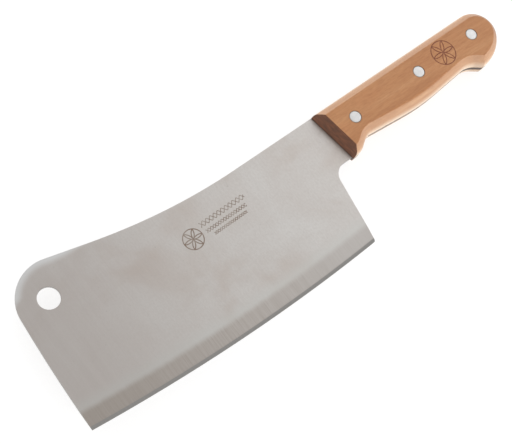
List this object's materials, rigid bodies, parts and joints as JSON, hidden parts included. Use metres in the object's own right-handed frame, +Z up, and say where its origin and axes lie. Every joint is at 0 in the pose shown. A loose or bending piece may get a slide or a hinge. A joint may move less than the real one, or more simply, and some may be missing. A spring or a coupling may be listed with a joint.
{
  "type": "meat cleaver",
  "caption": "Full-tang meat cleaver: broad flat-ground blade with a hanging hole, flared nose and square heel, between two bevelled wooden handle scales held by flush two-part rivets.",
  "frame": {"origin": "middle of the underside of the bounding box of the whole cleaver, lying flat on its far handle scale", "axes": "+X towards the butt of the handle, -X towards the nose of the blade; +Y towards the spine, -Y towards the cutting edge; +Z up, square to the blade's faces"},
  "size_m": [0.3364, 0.0946, 0.0182],
  "materials": {
    "blade_steel": "satin, ground across the blade from spine to edge",
    "handle_wood": "sanded beech, lightly oiled",
    "rivet_metal": "bright, ground flush"
  },
  "bodies": {
    "root": {"blade": "blade_steel", "near_scale": "handle_wood", "far_scale": "handle_wood", "front_rivet_socket": "rivet_metal", "front_rivet_pin": "rivet_metal", "middle_rivet_socket": "rivet_metal", "middle_rivet_pin": "rivet_metal", "rear_rivet_socket": "rivet_metal", "rear_rivet_pin": "rivet_metal"}
  },
  "joints": []
}
